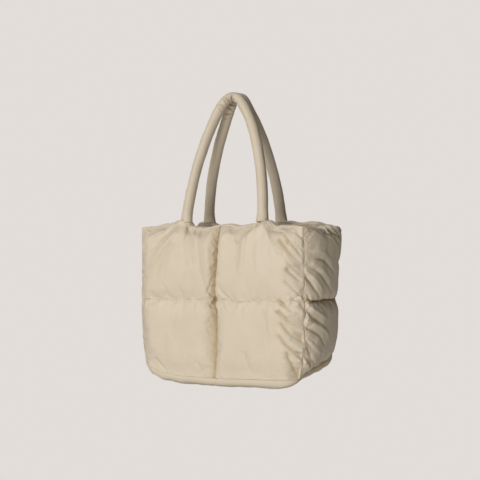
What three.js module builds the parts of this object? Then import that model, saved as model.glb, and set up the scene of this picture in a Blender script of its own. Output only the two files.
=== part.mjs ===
import * as THREE from 'three';

// A quilted puffer tote that hangs by its two padded handles, in millimetres, +Z up.
// The front faces -Y and the origin is the point under the crook of both handles that it hangs on.
// Every wall is one padded solid: an outer and an inner cloth face that meet at the seams.

// Sizes of the bag
const bodyWidth = 392;            // between the corner seams, left to right
const bodyDepth = 138;            // between the corner seams, front to back
const bodyHeight = 309;           // rim corner down to the bottom seam at the front
const waistDrop = 150;            // rim corner down to the level quilting seam
const handleDrop = 263;           // crook of the handles down to the rim corners
const waistTilt = 7;              // the level seam lies this much lower at the left than at the right
const mouthFlareX = 6;            // the back corners of the rim stand out sideways
const mouthFlareY = 10;           // and backwards
const rimLift = 12;               // how far the handles' feet draw the rim up
const backRise = 46;              // how far the bottom seam climbs to the back corners
const cornerRise = 34;            // how far the front left bottom corner is drawn up
const cornerTuck = 9;             // how far the rounded bottom corners draw in sideways

// Sizes of the padding
const clothEdge = 3;              // two cloths and the seam allowance, where a seam flattens the fill
const seamGap = 0.3;              // clearance between neighbouring pieces
const frontPuff = 20;             // how far the big puffs stand out of the seams
const rightPuff = 18;             // the same for the right gusset
const leftPuff = 12;              // and for the left one, which is slacker
const basePuff = 19;              // how far the base hangs below its seam
const baseLip = 8;                // how far it stands out past its seam at the back corners
const liningPuff = 8;             // how far the inner face swells into the bag
const puffRoll = 44;              // distance over which a puff rolls down into an upright seam
const waistRoll = 34;             // the same towards the level seam
const baseRoll = 20;              // the same at the edges of the base
const liningRoll = 40;            // the same on the inner face
const waistFill = 9;              // how far the level seam of the big puffs stays out
const rimShare = 0.42;            // share of the puff that is left at the rim
const rimFade = 110;              // the rim is drawn inwards down to this far below it
const foldHeight = 5;             // height of the strongest drawn fold
const foldWidth = 9;              // half-width of the widest drawn fold

// Sizes of the handles
const handleDiameter = 21;
const frontSpan = 188;            // between the two feet of the front handle
const backSpan = 180;             // and of the back one
const footSpread = 86;            // between the feet of the front and the back handle
const footShift = -9;             // the middle of the feet lies this far in front of the bag's middle
const footFlare = 1.16;           // the tube widens to this share of its diameter at the foot
const crookPinch = 0.9;           // and narrows to this share where it folds over at the top
const archPower = 1.65;           // powers of the pointed arch, its height and its two widths
const frontRound = 0.6;
const backRound = 0.76;
const crookRound = 0.5;           // the power that both arches end with, which rounds the crook

// Grids: cuts across each puff, and the steps and sides of a handle
const puffColumns = 13;
const puffRows = 11;
const gussetColumns = 10;
const handleSteps = 40;
const handleSides = 10;

// The rim between the corner seams: across is a share of the width, lift a share of rimLift
const frontRim = [
  { across: 0.00, lift: 0.00 },
  { across: 0.06, lift: 0.30 },
  { across: 0.15, lift: 0.80 },
  { across: 0.20, lift: 1.00 },
  { across: 0.29, lift: 1.00 },
  { across: 0.34, lift: 0.10 },
  { across: 0.41, lift: 0.00 },
  { across: 0.47, lift: 0.30 },
  { across: 0.55, lift: 0.55 },
  { across: 0.62, lift: 0.30 },
  { across: 0.70, lift: 0.92 },
  { across: 0.71, lift: 1.00 },
  { across: 0.80, lift: 1.00 },
  { across: 0.85, lift: 0.20 },
  { across: 0.93, lift: 0.30 },
  { across: 1.00, lift: 0.00 },
];
const backRim = [
  { across: 0.00, lift: 0.00 },
  { across: 0.10, lift: 0.60 },
  { across: 0.20, lift: 1.00 },
  { across: 0.29, lift: 1.00 },
  { across: 0.36, lift: 0.30 },
  { across: 0.50, lift: 0.20 },
  { across: 0.64, lift: 0.40 },
  { across: 0.71, lift: 1.00 },
  { across: 0.80, lift: 1.00 },
  { across: 0.90, lift: 0.85 },
  { across: 0.95, lift: 0.90 },
  { across: 1.00, lift: 0.00 },
];
const sideRim = [
  { across: 0.00, lift: 0.00 },
  { across: 0.30, lift: -0.15 },
  { across: 0.60, lift: 0.20 },
  { across: 0.78, lift: 0.55 },
  { across: 1.00, lift: 0.00 },
];

// How far the rim is drawn inwards, as a share of the way from the corner seam to the feet
const rimPull = [
  { across: 0.00, pull: 0.00 },
  { across: 0.10, pull: 0.55 },
  { across: 0.24, pull: 1.00 },
  { across: 0.37, pull: 0.82 },
  { across: 0.50, pull: 0.70 },
  { across: 0.63, pull: 0.82 },
  { across: 0.76, pull: 1.00 },
  { across: 0.90, pull: 0.55 },
  { across: 1.00, pull: 0.00 },
];

// The bottom seam: rise is a share of cornerRise at the front and of backRise at the back and sides
const frontBottom = [
  { across: 0.00, rise: 1.00 },
  { across: 0.03, rise: 0.62 },
  { across: 0.08, rise: 0.32 },
  { across: 0.16, rise: 0.10 },
  { across: 0.28, rise: 0.00 },
  { across: 0.93, rise: 0.00 },
  { across: 0.97, rise: 0.03 },
  { across: 1.00, rise: 0.10 },
];
const backBottom = [
  { across: 0.00, rise: 1.00 },
  { across: 0.05, rise: 0.80 },
  { across: 0.14, rise: 0.62 },
  { across: 0.50, rise: 0.55 },
  { across: 0.86, rise: 0.62 },
  { across: 0.95, rise: 0.80 },
  { across: 1.00, rise: 1.00 },
];
const sideBottom = [
  { across: 0.00, rise: 0.00 },
  { across: 0.18, rise: 0.30 },
  { across: 0.40, rise: 0.46 },
  { across: 0.75, rise: 0.68 },
  { across: 0.92, rise: 0.86 },
  { across: 1.00, rise: 1.00 },
];

// Drawn folds of the front: each runs from one place to another, given as shares of the width and
// of the height below the rim. Height is a share of foldHeight and width of foldWidth.
const frontFolds = [
  { across: 0.227, down: 0.00, toAcross: 0.040, toDown: 0.09, height: 0.9, width: 1.0 },
  { across: 0.210, down: 0.00, toAcross: 0.080, toDown: 0.21, height: -0.8, width: 0.9 },
  { across: 0.200, down: 0.04, toAcross: 0.115, toDown: 0.26, height: 0.7, width: 1.0 },
  { across: 0.300, down: 0.03, toAcross: 0.370, toDown: 0.22, height: -0.5, width: 0.9 },
  { across: 0.405, down: 0.03, toAcross: 0.470, toDown: 0.46, height: -0.7, width: 1.0 },
  { across: 0.710, down: 0.00, toAcross: 0.630, toDown: 0.09, height: -1.0, width: 0.8 },
  { across: 0.740, down: 0.01, toAcross: 0.650, toDown: 0.13, height: 0.8, width: 0.8 },
  { across: 0.840, down: 0.01, toAcross: 0.950, toDown: 0.15, height: -0.8, width: 0.9 },
  { across: 0.890, down: 0.10, toAcross: 0.985, toDown: 0.24, height: -0.8, width: 0.9 },
  { across: 0.815, down: 0.52, toAcross: 0.840, toDown: 0.78, height: -0.5, width: 1.0 },
  { across: 0.710, down: 0.82, toAcross: 0.740, toDown: 0.97, height: -0.6, width: 0.9 },
  { across: 0.960, down: 0.80, toAcross: 0.975, toDown: 0.97, height: -0.9, width: 0.8 },
  { across: 0.120, down: 0.92, toAcross: 0.190, toDown: 0.98, height: -0.5, width: 0.9 },
];
// Drawn folds of a gusset, from the front corner seam to the back one
const sideFolds = [
  { across: 0.44, down: 0.02, toAcross: 0.76, toDown: 0.12, height: -0.8, width: 0.9 },
  { across: 0.20, down: 0.18, toAcross: 0.62, toDown: 0.29, height: -1.0, width: 0.9 },
  { across: 0.05, down: 0.33, toAcross: 0.30, toDown: 0.45, height: -0.8, width: 0.8 },
  { across: 0.02, down: 0.49, toAcross: 0.42, toDown: 0.61, height: 1.0, width: 0.9 },
  { across: 0.02, down: 0.55, toAcross: 0.40, toDown: 0.66, height: -0.8, width: 0.8 },
  { across: 0.10, down: 0.63, toAcross: 0.54, toDown: 0.74, height: 0.8, width: 0.9 },
  { across: 0.04, down: 0.80, toAcross: 0.30, toDown: 0.92, height: -0.8, width: 0.9 },
];
// Plain folds of the back, below its handle's feet
const backFolds = [
  { across: 0.22, down: 0.00, toAcross: 0.06, toDown: 0.12, height: 0.8, width: 1.0 },
  { across: 0.30, down: 0.02, toAcross: 0.40, toDown: 0.20, height: -0.7, width: 0.9 },
  { across: 0.70, down: 0.02, toAcross: 0.60, toDown: 0.20, height: -0.7, width: 0.9 },
  { across: 0.78, down: 0.00, toAcross: 0.94, toDown: 0.12, height: 0.8, width: 1.0 },
  { across: 0.93, down: 0.60, toAcross: 0.98, toDown: 0.90, height: -0.7, width: 0.9 },
];

const half = 0.5;

// Places that follow from the sizes
const cornerZ = -handleDrop;
const waistZ = (across) => cornerZ - waistDrop + waistTilt * (across - half);
const bottomZ = cornerZ - bodyHeight;
const footZ = cornerZ + rimLift;
const frontFootY = footShift - footSpread / 2;
const backFootY = footShift + footSpread / 2;
// Shift of each piece away from a seam that is mitred between two pieces
const mitre = seamGap / (2 * Math.SQRT2);

const clothMaterial = (color) => new THREE.MeshStandardMaterial({ color, roughness: 0.62, metalness: 0 });

const smooth = (s) => s * s * (3 - 2 * s);
const clamp = (value, low, high) => Math.min(Math.max(value, low), high);
const mix = (a, b, s) => a + (b - a) * s;

// Reads a table at a share across, with a smooth step between its rows
function tableAt(rows, across, column) {
  const next = rows.findIndex((row) => row.across >= across);
  if (next <= 0) return rows[0][column];
  const low = rows[next - 1];
  const high = rows[next];
  const s = (across - low.across) / (high.across - low.across);
  return mix(low[column], high[column], smooth(s));
}

// Height of a puff at a distance from its seam, as a share: a quarter ellipse that levels off
function roll(distance, length) {
  const s = clamp(distance / length, 0, 1);
  return Math.sqrt(1 - (1 - s) ** 2);
}

// The same for the inner face: it leaves the seam flat, so that neighbours never meet there
function swell(distance, length) {
  return smooth(clamp(distance / length, 0, 1));
}

// Sum of the drawn folds at a place of a wall: each is a bell across its line that fades at its ends
function foldAt(folds, across, down, width) {
  let total = 0;
  for (const fold of folds) {
    const runX = (fold.toAcross - fold.across) * width;
    const runZ = (fold.toDown - fold.down) * bodyHeight;
    const x = (across - fold.across) * width;
    const z = (down - fold.down) * bodyHeight;
    const length = Math.hypot(runX, runZ);
    const along = clamp((x * runX + z * runZ) / length ** 2, 0, 1);
    const away = Math.hypot(x - along * runX, z - along * runZ) / (fold.width * foldWidth);
    total += fold.height * foldHeight * Math.exp(-(away ** 2)) * (1 - along ** 3);
  }
  return total;
}

// Cuts of one puff, closer together at its two seams
function puffCuts(count) {
  return Array.from({ length: count + 1 }, (_, k) => (1 - Math.cos((Math.PI * k) / count)) / 2);
}

// Cuts of a wall of two puffs that meet at a share of its length
function doubleCuts(count, meet) {
  const cuts = puffCuts(count);
  return [...cuts.map((s) => s * meet), ...cuts.slice(1).map((s) => mix(meet, 1, s))];
}

const wideCuts = doubleCuts(puffColumns, half);
const sideCuts = puffCuts(gussetColumns);
const rowCuts = doubleCuts(puffRows, half);      // 0 at the bottom seam, 1/2 at the waist, 1 at the rim

// Height of a row between the bottom seam, the waist and the rim
function rowHeight(row, bottom, waist, rim) {
  if (row <= half) return mix(bottom, waist, row / half);
  return mix(waist, rim, (row - half) / half);
}

// Distance of a corner seam from the bag's middle planes at a row: the bottom corners draw in, and
// the back corners stand out at the rim
function cornerAt(side, row) {
  const low = clamp(1 - row / half, 0, 1) ** 3;
  const high = side > 0 ? smooth(clamp((row - half) / half, 0, 1)) : 0;
  return {
    x: bodyWidth / 2 - cornerTuck * low + mouthFlareX * high,
    y: bodyDepth / 2 + mouthFlareY * high,
  };
}

// Bottom seam height at the front, the back and the sides
const frontBottomZ = (across) => bottomZ + cornerRise * tableAt(frontBottom, across, 'rise');
const backBottomZ = (across) => bottomZ + backRise * tableAt(backBottom, across, 'rise');
function sideBottomZ(across, side) {
  const start = frontBottomZ(side > 0 ? 1 : 0);
  const end = backBottomZ(side > 0 ? 1 : 0);
  return mix(start, end, tableAt(sideBottom, across, 'rise'));
}

// Joins an outer and an inner grid of points into one closed solid with its faces pointing out
function paddedSolid(name, outer, inner, color) {
  const columns = outer.length;
  const rows = outer[0].length;
  const last = columns - 1;
  const points = [...outer.flat(), ...inner.flat()];
  const outerAt = (i, j) => i * rows + j;
  const innerAt = (i, j) => columns * rows + i * rows + j;
  const triangles = [];
  const quad = (a, b, c, d) => triangles.push(a, b, c, a, c, d);
  for (let i = 0; i < last; i += 1) {
    for (let j = 0; j < rows - 1; j += 1) {
      quad(outerAt(i, j), outerAt(i + 1, j), outerAt(i + 1, j + 1), outerAt(i, j + 1));
      quad(innerAt(i, j), innerAt(i, j + 1), innerAt(i + 1, j + 1), innerAt(i + 1, j));
    }
  }
  for (let i = 0; i < last; i += 1) {
    quad(outerAt(i + 1, 0), outerAt(i, 0), innerAt(i, 0), innerAt(i + 1, 0));
    quad(outerAt(i, rows - 1), outerAt(i + 1, rows - 1), innerAt(i + 1, rows - 1), innerAt(i, rows - 1));
  }
  for (let j = 0; j < rows - 1; j += 1) {
    quad(outerAt(0, j), outerAt(0, j + 1), innerAt(0, j + 1), innerAt(0, j));
    quad(outerAt(last, j + 1), outerAt(last, j), innerAt(last, j), innerAt(last, j + 1));
  }
  return solidMesh(name, points, triangles, color);
}

// Builds a mesh, turned inside out if its triangles enclose a negative volume
function solidMesh(name, points, triangles, color) {
  let volume = 0;
  for (let k = 0; k < triangles.length; k += 3) {
    const [a, b, c] = [0, 1, 2].map((corner) => points[triangles[k + corner]]);
    volume += a.dot(new THREE.Vector3().crossVectors(b, c));
  }
  if (volume < 0) triangles.reverse();
  const geometry = new THREE.BufferGeometry();
  geometry.setFromPoints(points);
  geometry.setIndex(triangles);
  geometry.computeVertexNormals();
  const mesh = new THREE.Mesh(geometry, clothMaterial(color));
  mesh.name = name;
  return mesh;
}

// Outer height of a big puff: it rolls down to the middle and corner seams and to the bottom seam,
// keeps some fill at the waist and thins out to the rim
function bigPuffAt(across, z, bottom, waist, rim) {
  const fromMiddle = Math.abs(across - half) * bodyWidth;
  const fromCorner = Math.min(across, 1 - across) * bodyWidth;
  const upright = roll(fromMiddle, puffRoll) * roll(fromCorner, puffRoll);
  const waistLeft = waistFill / frontPuff;
  const level = mix(waistLeft, 1, roll(Math.abs(z - waist), waistRoll));
  const low = roll(z - bottom, puffRoll);
  const top = mix(rimShare, 1, roll(rim - z, puffRoll));
  return frontPuff * upright * level * low * top;
}

// How far the inner face swells at a place, from its distances to the seams around it
function liningAt(distances) {
  return distances.reduce((height, distance) => height * swell(distance, liningRoll), liningPuff);
}

// Front or back wall: side is -1 at the front and 1 at the back
function bigWall(name, side, rimTable, bottomAt, footY, folds, color) {
  const outer = [];
  const inner = [];
  for (const across of wideCuts) {
    const outerColumn = [];
    const innerColumn = [];
    const bottom = bottomAt(across);
    const waist = waistZ(across);
    const rim = cornerZ + rimLift * tableAt(rimTable, across, 'lift');
    for (const row of rowCuts) {
      const z = rowHeight(row, bottom, waist, rim);
      const corner = cornerAt(side, row);
      const nearRim = clamp(1 - (rim - z) / rimFade, 0, 1) ** 2;
      const reach = cornerAt(side, 1).y - Math.abs(footY) + (frontPuff * rimShare - liningPuff) / 2;
      const pull = reach * tableAt(rimPull, across, 'pull') * nearRim;
      const sheet = corner.y - pull;
      const puff = bigPuffAt(across, z, bottom, waist, rim);
      const fade = puff / frontPuff;
      const fold = foldAt(folds, across, (cornerZ - z) / bodyHeight, bodyWidth) * fade;
      const toEdges = [across * bodyWidth, (1 - across) * bodyWidth, z - bottom];
      const lining = liningAt([...toEdges, Math.abs(across - half) * bodyWidth]);
      const lift = (1 - row) ** 8;
      const outerHalf = corner.x - mitre;
      const innerHalf = outerHalf - clothEdge;
      outerColumn.push(new THREE.Vector3(
        mix(-outerHalf, outerHalf, across),
        side * (sheet + puff + fold + mitre),
        z + mitre * lift,
      ));
      innerColumn.push(new THREE.Vector3(
        mix(-innerHalf, innerHalf, across),
        side * (sheet - clothEdge - lining + mitre),
        z + (clothEdge + mitre) * lift,
      ));
    }
    outer.push(outerColumn);
    inner.push(innerColumn);
  }
  return paddedSolid(name, outer, inner, color);
}

// Left or right gusset: side is -1 at the left and 1 at the right
function gusset(name, side, sidePuff, color) {
  const outer = [];
  const inner = [];
  for (const across of sideCuts) {
    const outerColumn = [];
    const innerColumn = [];
    const bottom = sideBottomZ(across, side);
    const waist = waistZ(side > 0 ? 1 : 0);
    const rim = cornerZ + rimLift * tableAt(sideRim, across, 'lift');
    for (const row of rowCuts) {
      const z = rowHeight(row, bottom, waist, rim);
      const front = cornerAt(-1, row);
      const back = cornerAt(1, row);
      const fromCorner = Math.min(across, 1 - across) * bodyDepth;
      const level = roll(Math.abs(z - waist), waistRoll);
      const top = mix(rimShare, 1, roll(rim - z, puffRoll));
      const puff = sidePuff * roll(fromCorner, puffRoll) * level * roll(z - bottom, puffRoll) * top;
      const fold = foldAt(sideFolds, across, (cornerZ - z) / bodyHeight, bodyDepth) * (puff / sidePuff);
      const lining = liningAt([fromCorner, z - bottom]);
      const sheet = mix(front.x, back.x, across);
      const lift = (1 - row) ** 8;
      const inset = mitre + clothEdge;
      outerColumn.push(new THREE.Vector3(
        side * (sheet + puff + fold + mitre),
        mix(-front.y + mitre, back.y - mitre, across),
        z + mitre * lift,
      ));
      innerColumn.push(new THREE.Vector3(
        side * (sheet - clothEdge - lining + mitre),
        mix(-front.y + inset, back.y - inset, across),
        z + (clothEdge + mitre) * lift,
      ));
    }
    outer.push(outerColumn);
    inner.push(innerColumn);
  }
  return paddedSolid(name, outer, inner, color);
}

// Padded base: its edges follow the bottom seams of the four walls, and it hangs below them
function basePanel(name, color) {
  const outer = [];
  const inner = [];
  const corner = cornerAt(-1, 0);
  for (const across of wideCuts) {
    const outerColumn = [];
    const innerColumn = [];
    for (const back of sideCuts) {
      const frontZ = frontBottomZ(across);
      const backZ = backBottomZ(across);
      const leftZ = sideBottomZ(back, -1);
      const rightZ = sideBottomZ(back, 1);
      const corners = mix(
        mix(frontBottomZ(0), backBottomZ(0), back),
        mix(frontBottomZ(1), backBottomZ(1), back),
        across,
      );
      const sheet = mix(frontZ, backZ, back) + mix(leftZ, rightZ, across) - corners;
      const edges = [Math.min(across, 1 - across) * bodyWidth, Math.min(back, 1 - back) * bodyDepth];
      const drop = basePuff * roll(edges[0], baseRoll) * roll(edges[1], baseRoll);
      const lining = liningAt(edges);
      const lip = baseLip * back * Math.sin(Math.PI * clamp(edges[0] / baseRoll, 0, 1));
      const inset = mitre + clothEdge;
      outerColumn.push(new THREE.Vector3(
        (2 * across - 1) * (corner.x + lip - mitre),
        (2 * back - 1) * (corner.y - mitre),
        sheet - drop - mitre,
      ));
      innerColumn.push(new THREE.Vector3(
        (2 * across - 1) * (corner.x - inset),
        (2 * back - 1) * (corner.y - inset),
        sheet + clothEdge + lining - mitre,
      ));
    }
    outer.push(outerColumn);
    inner.push(innerColumn);
  }
  return paddedSolid(name, outer, inner, color);
}

// Padded handle: a tube along a pointed arch from foot to foot. At a share s of its height the arch is
// as wide as (1 - s^archPower)^round of the span. Both handles lean in and lie side by side on top.
function handle(name, footY, side, span, round, color) {
  const radius = handleDiameter / 2;
  const apexY = side * (radius * crookPinch + seamGap / 2);
  const apexZ = radius * crookPinch;
  const startZ = footZ + seamGap;
  const heights = [0, 0.12, 0.24, 0.36, 0.48, 0.6, 0.7, 0.79, 0.87, 0.93, 0.97, 0.992, 1];
  const rising = heights.map((s) => new THREE.Vector3(
    -(span / 2) * (1 - s ** archPower) ** mix(round, crookRound, s ** 16),
    mix(footY, apexY, s),
    mix(startZ, apexZ, s),
  ));
  const falling = rising.slice(0, -1).reverse().map((p) => new THREE.Vector3(-p.x, p.y, p.z));
  const path = new THREE.CatmullRomCurve3([...rising, ...falling]);
  const points = [];
  for (let step = 0; step <= handleSteps; step += 1) {
    const along = step / handleSteps;
    const centre = path.getPointAt(along);
    const tangent = path.getTangentAt(along);
    const across = new THREE.Vector3(0, 1, 0).addScaledVector(tangent, -tangent.y).normalize();
    const outwards = new THREE.Vector3().crossVectors(across, tangent).normalize();
    const fromFoot = Math.min(along, 1 - along) * 2;
    const flare = mix(footFlare, 1, smooth(clamp(fromFoot / 0.12, 0, 1)));
    const pinch = mix(crookPinch, 1, smooth(clamp((1 - fromFoot) / 0.16, 0, 1)));
    const size = radius * flare * pinch;
    for (let k = 0; k < handleSides; k += 1) {
      const angle = (2 * Math.PI * (k + half)) / handleSides;
      const point = centre.clone()
        .addScaledVector(across, size * Math.cos(angle))
        .addScaledVector(outwards, size * Math.sin(angle));
      if (step === 0 || step === handleSteps) point.z = startZ;
      points.push(point);
    }
  }
  const triangles = [];
  for (let step = 0; step < handleSteps; step += 1) {
    for (let k = 0; k < handleSides; k += 1) {
      const a = step * handleSides + k;
      const b = step * handleSides + ((k + 1) % handleSides);
      triangles.push(a, b, b + handleSides, a, b + handleSides, a + handleSides);
    }
  }
  const last = handleSteps * handleSides;
  for (let k = 1; k < handleSides - 1; k += 1) {
    triangles.push(0, k + 1, k, last, last + k, last + k + 1);
  }
  return solidMesh(name, points, triangles, color);
}

const bag = new THREE.Group();
bag.add(
  bigWall('front_panel', -1, frontRim, frontBottomZ, frontFootY, frontFolds, 0xd8cbb2),
  bigWall('back_panel', 1, backRim, backBottomZ, backFootY, backFolds, 0xd2c4aa),
  gusset('right_gusset', 1, rightPuff, 0xc9bb9f),
  gusset('left_gusset', -1, leftPuff, 0xc9bb9f),
  basePanel('base_panel', 0xcdbfa4),
  handle('front_handle', frontFootY, -1, frontSpan, frontRound, 0xd6c9af),
  handle('back_handle', backFootY, 1, backSpan, backRound, 0xcbbda1),
);

export default bag;
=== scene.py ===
import bpy
import numpy as np
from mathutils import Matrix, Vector


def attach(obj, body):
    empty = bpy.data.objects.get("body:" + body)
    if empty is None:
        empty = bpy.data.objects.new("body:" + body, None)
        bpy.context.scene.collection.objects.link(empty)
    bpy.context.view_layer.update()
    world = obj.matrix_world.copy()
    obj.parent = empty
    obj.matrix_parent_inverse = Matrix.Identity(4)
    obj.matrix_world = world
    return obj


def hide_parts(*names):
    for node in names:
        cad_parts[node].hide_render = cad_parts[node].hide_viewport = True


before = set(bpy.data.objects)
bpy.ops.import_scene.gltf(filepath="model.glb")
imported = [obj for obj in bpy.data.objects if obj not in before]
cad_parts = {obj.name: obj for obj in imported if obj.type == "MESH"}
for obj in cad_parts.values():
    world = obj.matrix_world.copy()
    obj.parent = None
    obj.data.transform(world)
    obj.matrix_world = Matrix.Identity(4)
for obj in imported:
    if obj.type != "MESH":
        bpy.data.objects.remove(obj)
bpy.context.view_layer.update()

# Puffer tote bag that hangs by its handles. Metres, +Z up, the front faces -Y.
# The sizes are the solid model's, so each padded piece sits in the space of its solid.
bag = dict(
    width=0.392, depth=0.138, height=0.309,     # between the corner seams, and rim corner to bottom seam
    waistDrop=0.150, waistTilt=0.007,           # level seam below the rim corners, and how far it tilts
    handleDrop=0.263, rimLift=0.012,            # crook to rim corners, and how far the feet draw the rim up
    mouthFlareX=0.006, mouthFlareY=0.010,       # back corners of the rim stand out
    backRise=0.046, cornerRise=0.034,           # the bottom seams rise at the back and at the left corner
    cornerTuck=0.009, clothEdge=0.003, seamGap=0.0003,
    footSpread=0.086, footShift=-0.009,         # handle feet from front to back, and their middle
    liningPuff=0.008, liningRoll=0.040,
    seamSink=0.0008, seamSinkWidth=0.006,       # the corner seams are drawn in by the thread
)
cornerZ = -bag["handleDrop"]
bottomZ = cornerZ - bag["height"]
footZ = cornerZ + bag["rimLift"]
mitre = bag["seamGap"] / (2 * np.sqrt(2))
footY = dict(front=bag["footShift"] - bag["footSpread"] / 2, back=bag["footShift"] + bag["footSpread"] / 2)
mm = 0.001


# 3s^2 - 2s^3
def smooth(s):
    return s * s * (3 - 2 * s)


# Value kept between two limits
def clamp(value, low=0.0, high=1.0):
    return np.clip(value, low, high)


# a at s = 0 and b at s = 1, a straight line between
def mix(a, b, s):
    return a + (b - a) * s


# Quarter ellipse: leaves the seam upright and levels off after a length
def roll(distance, length):
    return np.sqrt(1 - (1 - clamp(distance / length)) ** 2)


# The same with a squarer shoulder, (1 - (1 - s)^3)^(1/3)
def squareRoll(distance, length):
    return np.cbrt(1 - (1 - clamp(distance / length)) ** 3)


# Quarter sine: leaves the seam at a slope and levels off after a length
def dome(distance, length):
    return np.sin(clamp(distance / length) * np.pi / 2)


# Smooth step over a length
def swell(distance, length):
    return smooth(clamp(distance / length))


# Value of a table of (place, value) rows, with a smooth step between the rows
def tableAt(rows, place):
    at, value = np.array(rows, dtype=float).T
    k = np.clip(np.searchsorted(at, place), 1, len(at) - 1)
    s = clamp((place - at[k - 1]) / (at[k] - at[k - 1]))
    return mix(value[k - 1], value[k], smooth(s))


# Random heights from -1 to 1 at whole numbers along a line, joined by smooth steps
def rumple(place, seed):
    heights = np.random.default_rng(seed).uniform(-1, 1, 256)
    low = np.floor(place).astype(int)
    return mix(heights[low % 256], heights[(low + 1) % 256], smooth(place - low))


# The same over a sheet: random heights at the knots of a square net, joined both ways
def rumpleSheet(u, v, seed):
    heights = np.random.default_rng(seed).uniform(-1, 1, (64, 64))
    i, j = np.floor(u).astype(int), np.floor(v).astype(int)
    a, b = smooth(u - i), smooth(v - j)
    i, j, k, l = i % 64, j % 64, (i + 1) % 64, (j + 1) % 64
    return mix(mix(heights[i, j], heights[k, j], a), mix(heights[i, l], heights[k, l], a), b)


# Cuts of one puff from 0 to 1, half even and half drawn together towards its seams
def puffCuts(count):
    even = np.linspace(0, 1, count + 1)
    return (even + (1 - np.cos(np.pi * even)) / 2) / 2


# The same for two puffs in a row
def doubleCuts(count):
    one = puffCuts(count) / 2
    return np.concatenate([one, 0.5 + one[1:]])


# Each vector over its own length
def unit(vectors):
    return vectors / np.maximum(np.linalg.norm(vectors, axis=-1, keepdims=True), 1e-12)


# Length of a path up to each of its points
def lengthsAlong(path):
    return np.concatenate([[0], np.cumsum(np.linalg.norm(np.diff(path, axis=0), axis=1))])


# Outward normals of a grid of points: cross product of its two slopes, turned by the sheet's own sense
def normalsOf(points, turn):
    return unit(np.cross(np.gradient(points, axis=0), np.gradient(points, axis=1)) * turn)


# Puts a point between every two points of a grid, both ways: (9(b + c) - a - d) / 16
def twiceAsFine(field):
    for axis in (0, 1):
        a = np.moveaxis(field, axis, 0)
        padded = np.concatenate([2 * a[:1] - a[1:2], a, 2 * a[-1:] - a[-2:-1]])
        between = (9 * (padded[1:-2] + padded[2:-1]) - padded[:-3] - padded[3:]) / 16
        fine = np.empty((2 * len(a) - 1,) + a.shape[1:])
        fine[::2], fine[1::2] = a, between
        field = np.moveaxis(fine, 0, axis)
    return field


# A flank in metres for each mm of width and the power of the bell, then how much narrower the end is
foldForm = dict(raised=(0.00085, 1.5), crease=(0.00062, 1.15), narrower=0.35, head=0.25)


# Height of drawn folds at places of a sheet. A raised fold is a bell across its line and a crease is a
# sharper one, with one flank steeper by its lean. It may grow in over the head of its line, and it runs
# out towards the end, 1 - s^3.
def foldHeights(folds, u, v, width, height):
    total = np.zeros(np.broadcast(u, v).shape)
    for path, rise, wide, *form in folds:
        lean, head = [*form, 0, 0][:2]
        line = np.reshape(path, (-1, 2)) * (width, height)
        runs = np.diff(line, axis=0)
        lengths = np.hypot(*runs.T)
        starts = np.concatenate([[0], np.cumsum(lengths)[:-1]]) / lengths.sum()
        away = np.full(total.shape, np.inf)
        along, sense = np.zeros(total.shape), np.ones(total.shape)
        for point, run, length, start in zip(line, runs, lengths, starts):
            x, y = u - point[0], v - point[1]
            s = clamp((x * run[0] + y * run[1]) / length ** 2)
            distance = np.hypot(x - s * run[0], y - s * run[1])
            nearer = distance < away
            away = np.where(nearer, distance, away)
            along = np.where(nearer, start + s * length / lengths.sum(), along)
            sense = np.where(nearer, np.sign(run[0] * y - run[1] * x), sense)
        flank, power = foldForm["raised" if rise > 0 else "crease"]
        flank = wide * flank * (1 + lean * sense) * (1 - foldForm["narrower"] * along)
        ends = mix(1, swell(along, foldForm["head"]), head) * (1 - along ** 3)
        total += rise * mm * np.exp(-(away / flank) ** power) * ends
    return total


# Ridges of random strength along a line, 1 - 2|r|^0.8 of the random height r
def puckerRidge(place, seed):
    return 1 - 2 * np.abs(rumple(place, seed)) ** 0.8


# Puckers that run out of a seam: slanted ridges that fade with the distance from it
def puckers(along, away, look, seed):
    place = (along + look["slant"] * away) / look["pitch"]
    reach = look["reach"] * (0.7 + 0.5 * rumple(place * 0.61 + 7, seed + 1))
    fade = np.exp(-(away / np.maximum(reach, 0.002)) ** 1.5) * swell(away, 0.003)
    return look["height"] * puckerRidge(place, seed) * fade


# A corner seam's distance from the bag's middle planes: the bottom corners draw in, and the back
# corners stand out at the rim
def cornerAt(side, row):
    low = clamp(1 - row * 2) ** 3
    high = smooth(clamp(row * 2 - 1)) if side > 0 else 0 * row
    x = bag["width"] / 2 - bag["cornerTuck"] * low + bag["mouthFlareX"] * high
    return x - bag["seamSink"], bag["depth"] / 2 + bag["mouthFlareY"] * high - bag["seamSink"]


# How far a face stands out again beside a sunk corner seam
def besideSeam(fromCorner):
    return bag["seamSink"] * dome(fromCorner, bag["seamSinkWidth"])


# The front right seam wanders, mm sideways at shares of the height, and juts out and in where the big
# puckers cross it. Both fade over its reach into the two pieces that meet there.
cornerJut = dict(height=0.0022, pitch=0.017, seed=703, high=0.3, fade=0.03, reach=0.014)
cornerSway = [(0, 0), (0.12, 0), (0.2, 1.2), (0.27, -1.2), (0.36, 2.4), (0.43, -2.4), (0.5, 2), (0.55, 3.6),
              (0.61, -1), (0.68, 3), (0.77, 6), (0.83, 1), (0.9, 2), (0.96, 2), (1, 0)]


# Move of that seam outwards, then sideways, most below the level seam, times a place's share of it
def wanderAt(z, atSeam):
    down = cornerZ - z
    share = mix(cornerJut["high"], 1, swell(down - bag["waistDrop"], 0.02))
    share = share * swell(down, cornerJut["fade"]) * swell(bag["height"] - down, cornerJut["fade"])
    jut = cornerJut["height"] * puckerRidge(down / cornerJut["pitch"], cornerJut["seed"]) * share * atSeam
    return jut, tableAt(cornerSway, down / bag["height"]) * mm * atSeam + jut


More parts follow.
